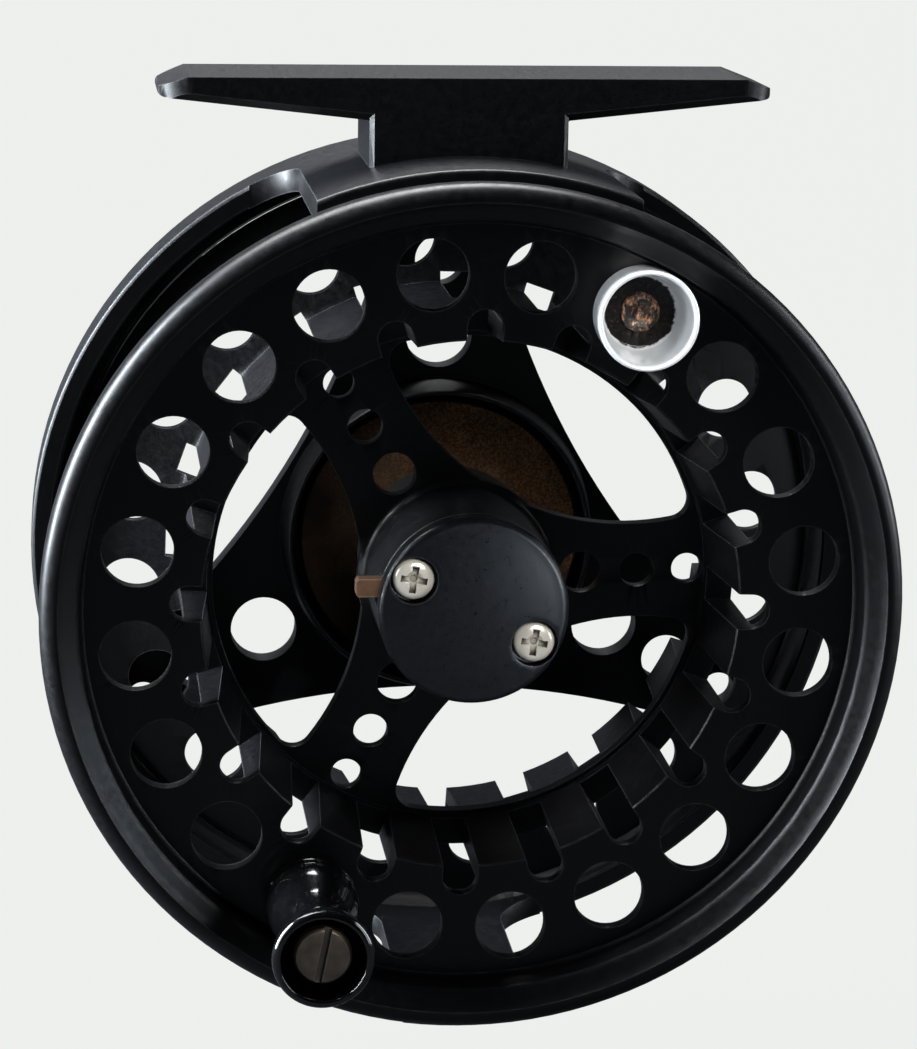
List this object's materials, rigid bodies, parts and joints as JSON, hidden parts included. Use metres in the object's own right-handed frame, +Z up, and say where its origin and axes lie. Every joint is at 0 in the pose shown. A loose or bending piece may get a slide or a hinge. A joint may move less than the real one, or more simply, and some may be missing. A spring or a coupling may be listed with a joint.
{
  "type": "fly fishing reel",
  "caption": "Large-arbor fly reel: ported palming-rim spool with slotted arbor on a one-sided frame, flat reel foot, knob handle, counterweight cup and rear disc drag knob.",
  "frame": {"origin": "centre of the flat top face of the reel foot", "axes": "+Z up out of the foot's seat face towards the rod, +X along the foot, -Y towards the handle side; the spool axis is parallel to Y, 52 mm below the seat face"},
  "size_m": [0.0884, 0.0673, 0.0962],
  "materials": {
    "black_anodised": "satin black anodised",
    "black_anodised_foot": "satin black anodised",
    "black_anodised_spool": "satin black anodised",
    "black_anodised_knob": "satin black anodised",
    "black_anodised_cap": "fine satin black anodised",
    "dark_steel": "blackened",
    "polished_steel": "ground",
    "spring_steel": "drawn wire and strip",
    "cork": "pressed cork",
    "bronze_disc": "bronze-brown satin, bright turned edge",
    "brass_bush": "turned",
    "black_nylon": "moulded",
    "nickel_screw": "bright nickel",
    "lever_bronze": "brown-grey plated",
    "chrome_cup": "polished",
    "copper_rivet": "warm copper brown",
    "gloss_black_handle": "gloss black",
    "handle_screw_steel": "brownish grey plated"
  },
  "bodies": {
    "frame": {"frame": "black_anodised", "reel_foot": "black_anodised_foot", "foot_screws": "dark_steel", "spindle": "polished_steel", "spindle_nut": "polished_steel", "rotor_clip": "spring_steel", "knob_screw": "polished_steel"},
    "spool": {"spool": "black_anodised_spool", "front_bush": "brass_bush", "clutch_shell": "polished_steel", "clutch_cage": "black_nylon", "clutch_rollers": "polished_steel", "clutch_cover": "polished_steel", "pawl_pin": "polished_steel", "cover_rivets": "polished_steel", "pawl_spring": "spring_steel", "hub_cap": "black_anodised_cap", "hub_cap_screws": "nickel_screw", "release_spring": "spring_steel", "counterweight": "chrome_cup", "counterweight_rivet": "copper_rivet", "handle_post": "polished_steel", "handle_washer": "black_nylon", "handle_screw": "handle_screw_steel"},
    "rotor": {"drag_rotor": "bronze_disc", "click_gear": "polished_steel"},
    "handle": {"handle_knob": "gloss_black_handle"},
    "latch": {"release_lever": "lever_bronze"},
    "pawl": {"click_pawl": "brass_bush"},
    "pressure_stack": {"pressure_plate": "polished_steel", "cork_washer": "cork", "pressure_pins": "polished_steel", "thrust_washer": "polished_steel", "drag_spring": "spring_steel"},
    "knob": {"drag_knob": "black_anodised_knob", "knob_insert": "brass_bush", "knob_cap": "black_anodised_cap"}
  },
  "joints": [
    {"name": "spool_spin", "type": "hinge", "parent": "frame", "child": "spool", "pos_m": [0, 0, -0.052], "axis": [0, -1, 0], "continuous": true},
    {"name": "rotor_spin", "type": "hinge", "parent": "frame", "child": "rotor", "pos_m": [0, 0, -0.052], "axis": [0, -1, 0], "continuous": true},
    {"name": "handle_spin", "type": "hinge", "parent": "spool", "child": "handle", "pos_m": [-0.01622, -0.025, -0.08188], "axis": [0, -1, 0], "continuous": true},
    {"name": "release_slide", "type": "slide", "parent": "spool", "child": "latch", "axis": [1, 0, 0], "range_m": [0, 0.0016], "deforming": ["release_spring"]},
    {"name": "pawl_swing", "type": "hinge", "parent": "spool", "child": "pawl", "pos_m": [0.00423, 0.0094, -0.05891], "axis": [0, -1, 0], "range_deg": [0, 12], "deforming": ["pawl_spring"]},
    {"name": "drag_press", "type": "slide", "parent": "frame", "child": "pressure_stack", "axis": [0, -1, 0], "range_m": [0, 0.0004]},
    {"name": "drag_knob_turn", "type": "hinge", "parent": "pressure_stack", "child": "knob", "pos_m": [0, 0.027, -0.052], "axis": [0, -1, 0], "range_deg": [0, 300]}
  ],
  "couplings": [
    {"joint": "rotor_spin", "follows": "spool_spin", "ratio": 1},
    {"joint": "drag_press", "follows": "drag_knob_turn", "m_per_rad": 0.0000725}
  ]
}
